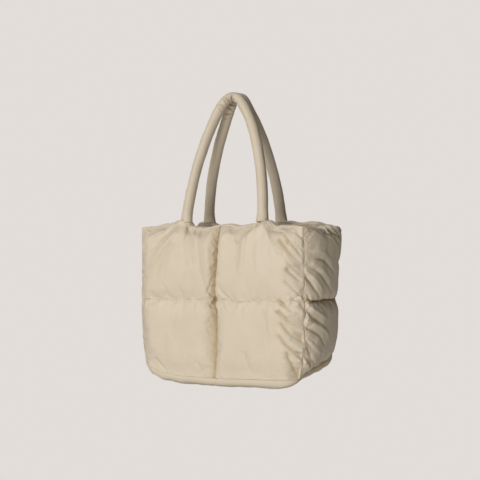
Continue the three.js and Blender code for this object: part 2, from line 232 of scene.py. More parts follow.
# The level seam wavers too, in mm at shares of the width
waistWaver = [(0, 0), (0.12, 0.8), (0.25, -0.6), (0.38, 0.9), (0.5, 0), (0.56, 2.2), (0.64, -3.2),
              (0.72, -1.0), (0.8, 2.0), (0.88, -2.2), (0.95, 1), (1, 0)]


# Height of the level seam: level, plus its tilt, plus its waver
def waistAt(across):
    return cornerZ - bag["waistDrop"] + bag["waistTilt"] * (across - 0.5) + tableAt(waistWaver, across) * mm


# Shares across a wall: how much of the way to the feet the rim is drawn in, and how high the bottom seam is
rimPull = [(0, 0), (0.1, 0.55), (0.24, 1), (0.37, 0.82), (0.5, 0.7), (0.63, 0.82), (0.76, 1), (0.9, 0.55),
           (1, 0)]
frontBottom = [(0, 1), (0.03, 0.66), (0.08, 0.36), (0.16, 0.12), (0.28, 0), (0.5, 0), (0.8, 0.13),
               (0.93, 0.2), (1, 0.27)]
backBottom = [(0, 1), (0.05, 0.8), (0.14, 0.62), (0.5, 0.55), (0.86, 0.62), (0.95, 0.8), (1, 1)]
sideBottom = [(0, 0), (0.18, 0.3), (0.4, 0.46), (0.75, 0.68), (0.92, 0.86), (1, 1)]


# Bottom seams: the lowest height plus the rise times the table's share
def frontBottomZ(across):
    return bottomZ + bag["cornerRise"] * tableAt(frontBottom, across)


# The same at the back
def backBottomZ(across):
    return bottomZ + bag["backRise"] * tableAt(backBottom, across)


# A gusset's bottom seam runs from the front one to the back one by its table
def sideBottomZ(across, side):
    end = 1.0 if side > 0 else 0.0
    return mix(frontBottomZ(end), backBottomZ(end), tableAt(sideBottom, across))


# Drawn folds: the path as shares across and down, height and width in mm, then the lean and the head, which
# are left out where they are 0
frontFolds = [
    ((0.262, -0.04, 0.153, 0.036, 0.05, 0.1), 5.5, 8, 0.5),
    ((0.25, -0.01, 0.165, 0.085, 0.07, 0.23), -6, 8, -0.5),
    ((0.244, 0.04, 0.177, 0.145, 0.09, 0.33), 4.6, 9, 0.5),
    ((0.225, 0.12, 0.165, 0.25, 0.11, 0.4), -3.4, 9, -0.3),
    ((0.245, 0.16, 0.205, 0.3, 0.185, 0.4), 2.4, 9, 0.2, 1),
    ((0.3, -0.02, 0.345, 0.08, 0.4, 0.28), -3.4, 8, 0.4),
    ((0.31, 0.1, 0.37, 0.25, 0.42, 0.4), 2.6, 9, 0.4, 1),
    ((0.344, -0.03, 0.358, 0.035), -3, 4),
    ((0.385, 0, 0.4, 0.141, 0.44, 0.352, 0.488, 0.48), -3, 6, -0.4),
    ((0.44, 0.05, 0.455, 0.2, 0.475, 0.33), 2.2, 8, 0, 1),
    ((0.735, -0.03, 0.662, 0.03, 0.632, 0.085, 0.64, 0.12), -7, 6, 0.5),
    ((0.772, -0.02, 0.701, 0.055, 0.648, 0.11), 5.4, 8, -0.5),
    ((0.64, 0.09, 0.632, 0.3), -4, 8, -0.5),
    ((0.68, 0.08, 0.665, 0.33), 3, 9, 0.3),
    ((0.74, 0.04, 0.735, 0.2, 0.76, 0.33), -2.4, 9, 0.3, 1),
    ((0.79, 0.02, 0.83, 0.1, 0.85, 0.22), 3.4, 9, 0.4),
    ((0.835, 0, 0.895, 0.03, 0.92, 0.075, 0.94, 0.15), -5, 5, 0.4),
    ((0.87, 0, 0.915, 0.04, 0.95, 0.11), 3, 6),
    ((0.875, 0.08, 0.925, 0.15, 0.995, 0.235), -5, 5, 0.4),
    ((0.93, 0.09, 0.975, 0.15, 1, 0.21), -4.6, 4, 0.4),
    ((0.86, 0.13, 0.92, 0.21, 0.985, 0.285), 3, 6),
    ((0.9, 0.18, 0.95, 0.25, 0.995, 0.305), -4.6, 5, 0.4),
    ((0.93, 0.27, 0.99, 0.35), -4.2, 4, 0.3),
    ((0.92, 0.35, 0.99, 0.43), -3.4, 5, 0.3),
    ((0.88, 0.47, 0.94, 0.53, 0.995, 0.575), -3.6, 6, 0.3),
    ((0.88, 0.54, 0.94, 0.6, 0.998, 0.65), -4.4, 5, 0.3),
    ((0.9, 0.62, 0.95, 0.69, 0.995, 0.73), -4.6, 5, 0.3),
    ((0.89, 0.7, 0.945, 0.77, 0.995, 0.82), -4.6, 6, 0.3),
    ((0.8, 0.5, 0.812, 0.62, 0.835, 0.78), -2.6, 8, 0.2, 1),
    ((0.69, 0.8, 0.71, 0.88, 0.735, 0.97), -3.2, 7, -0.2, 1),
    ((0.935, 0.8, 0.96, 0.87, 0.99, 0.95), -3.8, 6, 0.3),
    ((0.12, 0.9, 0.19, 0.985), -2.8, 6),
    ((0.395, 0.9, 0.43, 0.96), -2.4, 5),
    ((0.56, 0.505, 0.575, 0.56), -2.2, 5),
    ((0.497, 0.47, 0.468, 0.43), -2.8, 5),
    ((0.497, 0.5, 0.472, 0.545), -2.8, 5),
    ((0.505, 0.48, 0.54, 0.455), -3, 5),
    ((0.505, 0.495, 0.532, 0.54), -3, 5),
    ((0.25, 0.505, 0.235, 0.57), -2, 6),
]
# Front and back wall, with the puff and the lengths in metres
frontWall = dict(
    name="front_panel_puffs", node="front_panel", side=-1, fine=112, rows=92, puff=0.020, roll=0.044,
    cornerRoll=0.034, cornerSoft=1.0, middleRoll=(0.027, 0.011), waistFill=(0.80, 0.92), waistRoll=0.026,
    bottomFill=0.020, rimShare=0.42, rimFade=0.110, footY=footY["front"], bottomAt=frontBottomZ,
    cornerPuckers=(0.3, 1), bottomCrease=(0.05, 0.5), bottomSettle=0.35,     # pairs are left and right
    rim=[(0, 0), (0.06, 0.15), (0.15, 0.66), (0.21, 1), (0.29, 1), (0.312, 0.25), (0.36, 0.05), (0.41, 0),
         (0.47, 0.3), (0.55, 0.55), (0.62, 0.3), (0.69, 0.62), (0.72, 1), (0.79, 1), (0.84, 0.2),
         (0.93, 0.3), (1, 0)],
    feet=[(0, 0), (0.19, 0), (0.215, 1), (0.27, 1), (0.3, 0), (0.7, 0), (0.73, 1), (0.785, 1), (0.81, 0),
          (1, 0)],
    seamSway=[(0, 0), (0.20, -1), (0.42, -4), (0.485, -3), (0.51, -6), (0.56, 0), (1, 0)],  # mm, by height
    folds=frontFolds,
)
backFolds = [
    ((0.24, -0.02, 0.15, 0.05, 0.05, 0.11), 4, 8, 0.3),
    ((0.25, 0, 0.18, 0.1, 0.1, 0.24), -4, 7, -0.3),
    ((0.29, 0, 0.34, 0.09, 0.4, 0.22), -3.4, 7, 0.2),
    ((0.71, 0, 0.66, 0.09, 0.6, 0.22), -3.4, 7, -0.2),
    ((0.76, -0.02, 0.86, 0.05, 0.95, 0.11), 4, 8, -0.3),
    ((0.75, 0, 0.82, 0.1, 0.9, 0.24), -4, 7, 0.3),
    ((0.93, 0.6, 0.96, 0.75, 0.985, 0.9), -3.6, 7),
    ((0.08, 0.6, 0.05, 0.75, 0.02, 0.9), -3.6, 7),
    ((0.32, 0.62, 0.3, 0.8), -2.4, 8, 0, 1),
]
backWall = dict(
    frontWall, name="back_panel_puffs", node="back_panel", side=1, fine=80, rows=66, footY=footY["back"],
    bottomAt=backBottomZ, cornerSoft=0.3, middleRoll=(0.024, 0.024), waistFill=(0.6, 0.6),
    cornerPuckers=(0.3, 0.3),
    rim=[(0, 0), (0.12, 0.05), (0.19, 0.2), (0.235, 1), (0.295, 1), (0.36, 0.2), (0.5, 0.1), (0.64, 0.3),
         (0.705, 1), (0.78, 1), (0.83, 0.75), (0.88, 0.95), (0.91, 0.9), (0.955, 0.45), (1, 0)],
    seamSway=[(0, 0), (0.4, 2), (0.5, -2), (0.6, 0), (1, 0)],
    folds=backFolds,
)
seamPuckers = dict(
    corner=dict(height=0.0018, pitch=0.017, reach=0.022, slant=0.9),
    lowCorner=dict(height=0.0042, pitch=0.017, reach=0.023, slant=0.9),
    middle=dict(height=0.0009, pitch=0.010, reach=0.010, slant=-0.7),
    waist=dict(height=0.0017, pitch=0.013, reach=0.014, slant=0.4),
    bottom=dict(height=0.0006, pitch=0.014, reach=0.010, slant=0.2),
    rim=dict(height=0.0007, pitch=0.014, reach=0.016, slant=0.3),
)


# The bottom seam stands out between the corners, and this share of that is left further up, (1 - 2s)^2
def nearBottomShare(row):
    return clamp(1 - row * 2) ** 2


# Height of the rim, and of a wall's points from its bottom seam by its level seam to the rim
def heightsOf(look, across, row, bottom, waist):
    rim = cornerZ + bag["rimLift"] * tableAt(look["rim"], across)
    return rim, np.where(row <= 0.5, mix(bottom, waist, row * 2), mix(waist, rim, row * 2 - 1))


# A puff's rise from a seam, from a quarter ellipse to the softer quarter sine
def edgeRise(look, fromSeam, soft):
    return mix(roll(fromSeam, look["roll"]), dome(fromSeam, look["cornerRoll"]), soft)


# The softness fades a little below the level seam
def softnessOf(look, row):
    return look["cornerSoft"] * mix(0.8, 1, swell(row - 0.45, 0.2))


# The inner face swells inwards by a smooth step from each of its seams
def liningSwell(*distances):
    swelling = bag["liningPuff"]
    for distance in distances:
        swelling = swelling * swell(distance, bag["liningRoll"])
    return swelling


# What the folds and puckers go by: metres across and down, and the distance from each seam
def placesOf(u, z, bottom, waist, rim, shape, corner, middle=None):
    return dict(u=u + 0 * z, v=cornerZ - z, shape=shape, waist=waist - z, up=z - bottom, toRim=rim - z,
                middle=middle, corner=corner + 0 * z)


# Places of a front or back wall at shares across and up the rows: the outer face is the sheet between
# the corner seams, drawn in at the rim, plus its puff, and the inner face swells the other way
def wallSheets(look, across, row, fill):
    side = look["side"]
    bottom, waist = look["bottomAt"](across), waistAt(across)
    rim, z = heightsOf(look, across, row, bottom, waist)
    cornerX, cornerY = cornerAt(side, row)
    fromMiddle = np.abs(across - 0.5) * bag["width"]
    fromCorner = np.minimum(across, 1 - across) * bag["width"]
    edge = edgeRise(look, fromCorner, softnessOf(look, row))
    atWaist = mix(*look["waistFill"], swell(across - 0.45, 0.1))
    level = mix(atWaist, 1, roll(np.abs(z - waist), look["waistRoll"]))
    low = edgeRise(look, z - bottom, 0.7)
    top = mix(look["rimShare"], 1, roll(rim - z, look["roll"]))
    full = clamp(1 - nearBottomShare(row) * look["bottomFill"] / look["puff"])
    middleRoll = np.where(across < 0.5, look["middleRoll"][0], look["middleRoll"][1])
    shape = roll(fromMiddle, middleRoll) * edge * level * low * top * full
    nearRim = clamp(1 - (rim - z) / look["rimFade"]) ** 2
    reach = cornerAt(side, np.array(1.0))[1] - abs(look["footY"])
    reach = reach + (look["puff"] * look["rimShare"] - bag["liningPuff"]) / 2
    nearBottom = look["bottomFill"] * mix(0.85, 1, roll(fromMiddle, look["roll"])) * edge * nearBottomShare(row)
    sheet = cornerY - reach * tableAt(rimPull, across) * nearRim + nearBottom
    lining = liningSwell(fromCorner, z - bottom, fromMiddle)
    lift = (1 - row) ** 8
    outerHalf = cornerX - mitre
    jut, wander = wanderAt(z, np.exp(-fromCorner / cornerJut["reach"]) * (across > 0.5) * (side < 0))
    sway = tableAt(look["seamSway"], (cornerZ - z) / bag["height"]) * mm * np.exp(-(fromMiddle / 0.03) ** 2)
    beside = besideSeam(fromCorner) * (1 - nearBottomShare(row))
    out = sheet + look["puff"] * fill * shape + beside + mitre + jut
    x = mix(-outerHalf, outerHalf, across) + (sway + wander)
    outer = np.stack([x, side * out, z + mitre * lift], axis=2)
    innerHalf = outerHalf - bag["clothEdge"]
    inside = sheet - bag["clothEdge"] - lining + mitre + jut
    inner = np.stack([mix(-innerHalf, innerHalf, across) + wander, side * inside,
                      z + (bag["clothEdge"] + mitre) * lift], axis=2)
    return outer, inner, placesOf(across * bag["width"], z, bottom, waist, rim, shape, fromCorner,
                                  (across - 0.5) * bag["width"] + 0 * z)


rightFolds = [
    ((0.44, -0.06, 0.45, 0.02, 0.52, 0.07), -6, 4),
    ((0.59, -0.06, 0.6, 0.02, 0.68, 0.08), -6, 4),
    ((0.76, -0.06, 0.77, 0.03, 0.84, 0.09), -5, 4),
    ((0.34, 0, 0.55, 0.06, 0.78, 0.125), -5, 5, 0.4),
    ((0.3, -0.01, 0.48, 0.05, 0.7, 0.13), 3, 6),
    ((0.52, 0, 0.7, 0.05, 0.86, 0.08), -4.4, 4, 0.3),
    ((0.09, 0.195, 0.2, 0.205, 0.333, 0.216, 0.66, 0.31), -5.4, 5, 0.4, 1),
    ((0.12, 0.15, 0.3, 0.17, 0.56, 0.24), 2.4, 7, 0, 1),
    ((0.149, 0.27, 0.362, 0.338, 0.58, 0.41), -4.6, 5, 0.4),
    ((0.12, 0.24, 0.35, 0.295, 0.54, 0.36), 3, 6),
    ((0.02, 0.32, 0.15, 0.39, 0.32, 0.455), -5.4, 5, 0.4),
    ((0.02, 0.28, 0.17, 0.345, 0.32, 0.41), 3.2, 6),
    ((0.01, 0.49, 0.12, 0.535, 0.42, 0.6), 5.4, 7, 0.3),
    ((0.01, 0.54, 0.12, 0.59, 0.4, 0.655), -5.4, 5, -0.3),
    ((0.02, 0.6, 0.362, 0.666, 0.56, 0.735), 5, 7, 0.3),
    ((0.04, 0.65, 0.25, 0.7, 0.42, 0.78), -5.2, 5, -0.3),
    ((0.02, 0.71, 0.15, 0.77, 0.36, 0.83), 3.6, 7),
    ((0.02, 0.77, 0.12, 0.84, 0.34, 0.92), -5, 5, 0.3),
    ((0.02, 0.85, 0.12, 0.9, 0.24, 0.95), 3, 6),
]

# The gussets: the same in x, with one puff above and one below the level seam
rightGusset = dict(
    name="right_gusset_puffs", node="right_gusset", side=1, fine=80, rows=92, puff=0.019, roll=0.044,
    cornerRoll=0.040, cornerSoft=1.0, waistRoll=0.026, rimShare=0.62, sag=0.010, highPuckers=0.4,
    rim=[(0, 0), (0.3, -0.15), (0.42, -0.25), (0.5, 0.15), (0.57, -0.1), (0.66, 0.3), (0.76, -0.2),
         (0.88, 0.2), (1, 0)],
    folds=rightFolds,
)
leftFolds = [
    ((0.65, 0, 0.45, 0.06, 0.22, 0.125), -4, 6, 0.3),
    ((0.8, 0.185, 0.6, 0.22, 0.35, 0.3), -4.2, 7, 0.3),
    ((0.15, 0.29, 0.3, 0.35, 0.42, 0.42), -3.2, 6, 0.3),
    ((0.95, 0.5, 0.75, 0.56, 0.5, 0.64), 3.6, 8, 0.3),
    ((0.94, 0.58, 0.7, 0.65, 0.48, 0.74), -3.8, 6, 0.2),
    ((0.06, 0.56, 0.25, 0.64, 0.42, 0.74), -3.4, 6, 0.2),
    ((0.1, 0.82, 0.3, 0.88), -3, 6),
]
leftGusset = dict(
    rightGusset, name="left_gusset_puffs", node="left_gusset", side=-1, fine=56, rows=66,
    puff=0.012, sag=0.002, cornerPuckers=(0.3, 0.3),
    folds=leftFolds,
)


# Both corner seams with a straight sheet between them, and the upper puff sags over the level seam
def gussetSheets(look, across, row, fill):
    side = look["side"]
    bottom, waist = sideBottomZ(across, side), waistAt(1.0 if side > 0 else 0.0)
    rim, z = heightsOf(look, across, row, bottom, waist)
    frontX, frontY = cornerAt(-1, row)
    backX, backY = cornerAt(1, row)
    fromCorner = np.minimum(across, 1 - across) * bag["depth"]
    edge = edgeRise(look, fromCorner, softnessOf(look, row) * (1 - across))
    level = roll(np.abs(z - waist), look["waistRoll"])
    top = mix(look["rimShare"], 1, roll(rim - z, look["roll"]))
    shape = edge * level * roll(z - bottom, look["roll"]) * top
    lining = liningSwell(fromCorner, z - bottom)
    sheet = mix(frontX, backX, across)
    lift = (1 - row) ** 8
    inset = mitre + bag["clothEdge"]
    sag = look["sag"] * shape * np.exp(-clamp(z - waist, 0, 1) / 0.02) * (z > waist)
    beside = besideSeam(fromCorner) * (1 - nearBottomShare(row))
    jut, wander = wanderAt(z, np.exp(-across * bag["depth"] / cornerJut["reach"]) * (side > 0))
    outer = np.stack([side * (sheet + look["puff"] * fill * shape + beside + mitre) + wander,
                      mix(mitre - frontY, backY - mitre, across) - jut, z + mitre * lift - sag], axis=2)
    inner = np.stack([side * (sheet - bag["clothEdge"] - lining + mitre) + wander,
                      mix(inset - frontY, backY - inset, across) - jut,
                      z + (bag["clothEdge"] + mitre) * lift], axis=2)
    return outer, inner, placesOf(across * bag["depth"], z, bottom, waist, rim, shape, fromCorner)


baseFolds = [
    ((0.08, 0.1, 0.2, 0.3, 0.3, 0.55), -2.6, 7, 0, 1),
    ((0.92, 0.12, 0.82, 0.35, 0.74, 0.6), -2.6, 7, 0, 1),
    ((0.45, 0.15, 0.48, 0.5, 0.52, 0.85), -2.2, 8, 0, 1),
]
# The base hangs below the bottom seams of the four walls
basePad = dict(
    name="base_panel_pad", node="base_panel", fine=112, rows=56, puff=0.023, roll=0.019, sideRoll=0.055,
    # Painted shade along the base's seams, reach and strength, and the reach of a painted shadow under its
    # right end
    lip=0.008, most=0.0015, reach=0.045, ripple=0.5, seed=71, creased=(0.003, 0.15), darkEnd=0.012,
    folds=baseFolds,
)


# The sheet through all four bottom seams is both blends less the blend of the corners
def baseSheets(look, across, back, fill):
    cornerX, cornerY = cornerAt(-1, np.array(0.0))
    corners = mix(*(mix(frontBottomZ(end), backBottomZ(end), back) for end in (0.0, 1.0)), across)
    sheet = mix(frontBottomZ(across), backBottomZ(across), back)
    sheet = sheet + mix(sideBottomZ(back, -1), sideBottomZ(back, 1), across) - corners
    fromSide = np.minimum(across, 1 - across) * bag["width"]
    fromFront = np.minimum(back, 1 - back) * bag["depth"]
    shape = roll(fromSide, look["sideRoll"]) * squareRoll(fromFront, look["roll"])
    edge = edgeRise(frontWall, fromSide, frontWall["cornerSoft"] * 0.6)
    nearMiddle = roll(np.abs(across - 0.5) * bag["width"], frontWall["roll"])
    standsOut = frontWall["bottomFill"] * mix(0.85, 1, nearMiddle) * edge
    bulge = standsOut * (2 * back - 1) * (1 - clamp(fromFront / look["reach"])) ** 2
    lining = liningSwell(fromSide, fromFront)
    lip = look["lip"] * back * np.sin(np.pi * clamp(fromSide / look["roll"]))
    inset = mitre + bag["clothEdge"]
    x, y = 2 * across - 1, 2 * back - 1
    outer = np.stack([x * (cornerX + lip - mitre), y * (cornerY - mitre) + bulge,
                      sheet - look["puff"] * fill * shape - mitre], axis=2)
    inner = np.stack([x * (cornerX - inset) + 0 * sheet, y * (cornerY - inset) + bulge,
                      sheet + bag["clothEdge"] + lining - mitre], axis=2)
    return outer, inner, dict(u=across * bag["width"] + 0 * sheet, v=back * bag["depth"] + 0 * sheet,
                              side=fromSide + 0 * sheet, front=fromFront + 0 * sheet)


# Puts a mesh, lamp or camera into the scene
def addObject(name, data):
    added = bpy.data.objects.new(name, data)
    bpy.context.scene.collection.objects.link(added)
    return added


# A mesh from whole arrays of points and faces
def meshOf(name, points, faces):
    mesh = bpy.data.meshes.new(name)
    mesh.from_pydata(points.reshape(-1, 3).tolist(), [], faces)
    return mesh


# The filling blows each outer cloth out between its seams, which are sewn down
filling = dict(startFill=0.88, frames=20, most=0.006, bumps=0.0004, bumpPitch=0.012, cloth=dict(
    quality=6, mass=0.25, tension_stiffness=12, compression_stiffness=12, shear_stiffness=4,
    bending_stiffness=0.1, shrink_min=-0.022, use_pressure=True, uniform_pressure_force=5,
    vertex_group_mass="sewn"))


# Makes a sheet of points a cloth under pressure, with its sewn points pinned
def startFilling(name, points, turn, sewn):
    across, rows = points.shape[:2]
    index = np.arange(across * rows).reshape(across, rows)
    quads = np.stack([index[:-1, :-1], index[1:, :-1], index[1:, 1:], index[:-1, 1:]], axis=2).reshape(-1, 4)
    cloth = addObject(name, meshOf(name, points, quads[:, ::turn].tolist()))
    cloth.vertex_groups.new(name="sewn").add(np.flatnonzero(sewn.ravel()).tolist(), 1.0, "REPLACE")
    modifier = cloth.modifiers.new("filling", "CLOTH")
    for name, value in filling["cloth"].items():
        setattr(modifier.settings, name, value)
    modifier.settings.effector_weights.gravity = 0
    modifier.point_cache.frame_start, modifier.point_cache.frame_end = 1, filling["frames"]
    return cloth


# Reads where the cloth went, with no point moved further than the cap: cap * tanh(move / cap)
def endFilling(cloth, points, most):
    found = cloth.evaluated_get(bpy.context.evaluated_depsgraph_get()).to_mesh()
    places = np.empty(points.size)
    found.vertices.foreach_get("co", places)
    mesh = cloth.data
    bpy.data.objects.remove(cloth)
    bpy.data.meshes.remove(mesh)
    move = places.reshape(points.shape) - points
    size = np.linalg.norm(move, axis=2, keepdims=True)
    print("  filling moved the cloth by up to", round(float(size.max()) / mm, 1), "mm")
    return move * (most * np.tanh(size / most) / np.maximum(size, 1e-9))


pieces = {}
panels = ("front_panel", "back_panel")
for look, sheets, turn in ((frontWall, wallSheets, 1), (backWall, wallSheets, -1),
                           (rightGusset, gussetSheets, 1), (leftGusset, gussetSheets, -1),
                           (basePad, baseSheets, -1)):
    across = (doubleCuts if look["node"] in panels else puffCuts)(look["fine"])[:, None]
    row = (puffCuts if look is basePad else doubleCuts)(look["rows"])[None, :]
    outer, inner, places = sheets(look, across, row, filling["startFill"])
    pieces[look["node"]] = dict(look=look, turn=turn, across=across[:, 0], outer=outer, inner=inner,
                                places=places)

print("filling the puffs")
running = []
for seed, (node, piece) in enumerate(pieces.items()):
    start = piece["outer"][::2, ::2].copy()
    across, rows = start.shape[:2]
    sewn = np.zeros((across, rows), dtype=bool)
    sewn[[0, -1], :] = sewn[:, [0, -1]] = True
    if node != "base_panel":
        sewn[:, rows // 2] = True
    if node in panels:
        sewn[across // 2, :] = True
    u, v = (piece["places"][k][::2, ::2] / filling["bumpPitch"] for k in ("u", "v"))
    bumps = rumpleSheet(u, v, seed) * filling["bumps"]
    start += normalsOf(start, piece["turn"]) * (bumps * ~sewn)[:, :, None]
    running.append((piece, start, startFilling(node + "_cloth", start, piece["turn"], sewn)))
for step in range(1, filling["frames"] + 1):
    bpy.context.scene.frame_set(step)
for piece, start, cloth in running:
    move = twiceAsFine(endFilling(cloth, start, piece["look"].get("most", filling["most"])))
    if "bottomSettle" in piece["look"]:
        move *= mix(piece["look"]["bottomSettle"], 1, swell(piece["places"]["up"], 0.05))[:, :, None]
    piece["outer"] = piece["outer"] + move
bpy.context.scene.frame_set(1)


# How far the rim is rounded: share of its thickness, at most, over which height, what is left at the feet
rimForm = dict(share=0.45, most=0.0065, near=0.026, atFeet=0.15, rows=9)


# Rounds the rim of a wall: both faces stop short of it, and a half ellipse runs over from one to the other
def roundRim(outer, inner, toRim, feet):
    thick = np.linalg.norm(outer[:, -1] - inner[:, -1], axis=1)
    drop = (np.minimum(thick * rimForm["share"], rimForm["most"]) * mix(1, rimForm["atFeet"], feet))[:, None]
    near = swell(rimForm["near"] - toRim, rimForm["near"])
    outer, inner = outer.copy(), inner.copy()
    outer[:, :, 2] -= drop * near
    inner[:, :, 2] -= drop * near
    turnOver = np.pi * np.arange(1, rimForm["rows"] + 1) / (rimForm["rows"] + 1)
    cap = mix(outer[:, -1:], inner[:, -1:], (1 - np.cos(turnOver))[:, None] / 2)
    cap[:, :, 2] += drop * np.sin(turnOver)
    return outer, inner, cap


# Numbers of a net of points that closes on itself along its rows, and its faces
def closedNet(columns, rows):
    index = np.arange(columns * rows).reshape(columns, rows)
    after = np.roll(index, -1, axis=1)
    return index, np.stack([index[:-1], index[1:], after[1:], after[:-1]], axis=2).reshape(-1, 4)


# A closed piece from an outer face, the rows over its rim and an inner face. Columns run across; the
# loop of rows closes at the bottom, and the two ends are laced from outer to inner.
def closedShell(name, outer, cap, inner, turn, uv, crease, lining):
    loop = np.concatenate([outer, cap, inner[:, ::-1]], axis=1)
    rows = loop.shape[1]
    index, quads = closedNet(*loop.shape[:2])
    steps = np.arange(outer.shape[1] - 1)
    faces, ends = [quads], []
    for line, sense in ((index[0], 1), (index[-1], -1)):
        lace = line[np.stack([steps, steps + 1, rows - 2 - steps, rows - 1 - steps], axis=1)]
        faces.append(lace[:, ::sense])
        if cap.shape[1]:
            ends.append(line[outer.shape[1] - 1: outer.shape[1] + cap.shape[1] + 1][::sense])
    faces = np.concatenate(faces)[:, ::turn].tolist() + [end[::turn].tolist() for end in ends]
    return finishMesh(meshOf(name, loop, faces), uv, crease, lining)


# Cloth places, the strength of the painted shade in creases and seams, and the lining share go into the mesh,
# for the material to read
def finishMesh(mesh, uv, crease, lining):
    corners = np.empty(len(mesh.loops), dtype=np.int32)
    mesh.loops.foreach_get("vertex_index", corners)
    layer = mesh.uv_layers.new(name="cloth")
    layer.data.foreach_set("uv", uv.reshape(-1, 2)[corners].astype(np.float32).ravel())
    for name, values in (("crease", crease), ("lining", lining)):
        attribute = mesh.attributes.new(name, "FLOAT", "POINT")
        attribute.data.foreach_set("value", values.astype(np.float32).ravel())
    mesh.polygons.foreach_set("use_smooth", np.ones(len(mesh.polygons), dtype=bool))
    mesh.update()
    return addObject(mesh.name, mesh)


# Painted shade along the seams and in the fold valleys, darker and warmer cloth: its reach and its strength,
# which is a pair for the bottom's left and right. The middle seam has its reach to the left and right, and a
# valley its depth, then its strength away from the gusset and beside it.
seamShade = dict(corner=(0.002, 0.4), bottom=(0.003, (0.6, 0.6)), gussetWaist=(0.004, 1), waist=(0.0025, 0.2),
                 middle=(0.010, 0.003), valley=(0.0036, (0.3, 0.8)))
# Broad undulations: lengths across and down, skew, height and seed
undulations = ((0.024, 0.090, 0, 0.0013, 41), (0.011, 0.045, 20, 0.0005, 43))


# The shade of one seam, strength * exp(-d / reach)
def shadeAt(away, name):
    reach, strength = seamShade[name]
    return np.exp(-away / reach) * strength


# Adds the drawn folds and the puckers of every seam to an outer face, along its normals, and sets the
# painted shade along its seams and in its fold valleys
def dressWall(piece, seed):
    look, places, outer = piece["look"], piece["places"], piece["outer"]
    u, v, fromWaist, middle = places["u"], places["v"], np.abs(places["waist"]), places["middle"]
    isGusset = middle is None
    width = bag["depth"] if isGusset else bag["width"]
    keep = swell(places["corner"], 0.004) * swell(places["up"], 0.006)
    low = swell(-places["waist"], 0.03)
    pucker = 0
    for name, share in (("corner", low), ("lowCorner", 1 - low)):
        form = dict(seamPuckers[name], slant=seamPuckers[name]["slant"] * (-1 if isGusset else 1))
        pucker += puckers(v, places["corner"], form, cornerJut["seed"]) * share
    if look["node"] == "right_gusset":
        pucker *= 1 - 0.75 * swell(u / width - 0.35, 0.4)
    pucker *= mix(*look.get("cornerPuckers", (1, 1)), u > width / 2) * mix(1, look.get("highPuckers", 1), low)
    pucker += puckers(u, fromWaist, seamPuckers["waist"], seed + 5) * swell(places["corner"], 0.01)
    pucker += puckers(u, places["up"], seamPuckers["bottom"], seed + 9)
    pucker += puckers(u, places["toRim"], seamPuckers["rim"], seed + 13)
    # Painted shade along the corner, level, bottom and middle seams
    bottomShade = look.get("bottomCrease", seamShade["bottom"][1])
    crease = shadeAt(places["corner"], "corner") + shadeAt(fromWaist, "gussetWaist" if isGusset else "waist")
    crease += np.exp(-places["up"] / seamShade["bottom"][0]) * mix(*bottomShade, swell(u / width - 0.3, 0.3))
    deep, valley = seamShade["valley"]
    if not isGusset:
        away = np.abs(middle)
        pucker += puckers(v, away, seamPuckers["middle"], seed + 17) * (middle < 0)
        pucker += puckers(v, away, seamPuckers["middle"], seed + 21) * (middle >= 0)
        crease += np.exp(-away / np.where(middle < 0, *seamShade["middle"]))
    broad = 0
    for wide, long, skew, rise, more in undulations:
        broad += rumpleSheet(u / wide + v * skew, v / long, seed + more) * rise
    fold = foldHeights(look["folds"], u, v, width, bag["height"])
    height = (fold + pucker + broad * places["shape"]) * keep
    # Painted shade in the fold valleys, full at the valley depth and stronger beside the gusset
    nearGusset = 1 if isGusset else swell(u / width - 0.82, 0.06)
    piece["outer"] = outer + normalsOf(outer, piece["turn"]) * height[:, :, None]
    piece["crease"] = clamp(crease + clamp(-height / deep) * mix(*valley, nearGusset))


print("folds and puckers")
built = {}
for seed, (node, piece) in enumerate(pieces.items()):
    look, outer, inner, places = (piece[k] for k in ("look", "outer", "inner", "places"))
    if node == "base_panel":
        height = foldHeights(look["folds"], places["u"], places["v"], bag["width"], bag["depth"])
        edge = np.minimum(places["side"], places["front"])
        height += puckers(places["u"] + places["v"], edge, seamPuckers["bottom"], look["seed"]) * look["ripple"]
        piece["outer"] = outer + normalsOf(outer, piece["turn"]) * (height * swell(edge, 0.006))[:, :, None]
        # Painted shadow on the strip under the base's right end, and painted shade along its seams
        rightEndShadow = np.exp(-places["side"] / look["darkEnd"]) * (places["u"] > bag["width"] / 2)
        piece["crease"] = np.maximum(np.exp(-edge / look["creased"][0]) * look["creased"][1], rightEndShadow)
        cap = np.empty((outer.shape[0], 0, 3))
    else:
        dressWall(piece, 100 * seed)
        feet = tableAt(look["feet"], piece["across"]) if "feet" in look else 0 * piece["across"]
        piece["outer"], inner, cap = roundRim(piece["outer"], inner, places["toRim"], feet)
    flat = np.stack([places["u"], places["v"]], axis=2)
    crease, none = piece["crease"], np.zeros(cap.shape[:2])
    over = np.repeat(flat[:, -1:], cap.shape[1], axis=1)
    uv = np.concatenate([flat, over, (flat + (0, 1))[:, ::-1]], axis=1)
    # Painted shade is on the outer face only
    shade = np.concatenate([crease, none, 0 * crease], axis=1)
    lining = np.concatenate([0 * crease, none, 0 * crease + 1], axis=1)
    built[node] = closedShell(look["name"], piece["outer"], cap, inner, piece["turn"], uv, shade, lining)

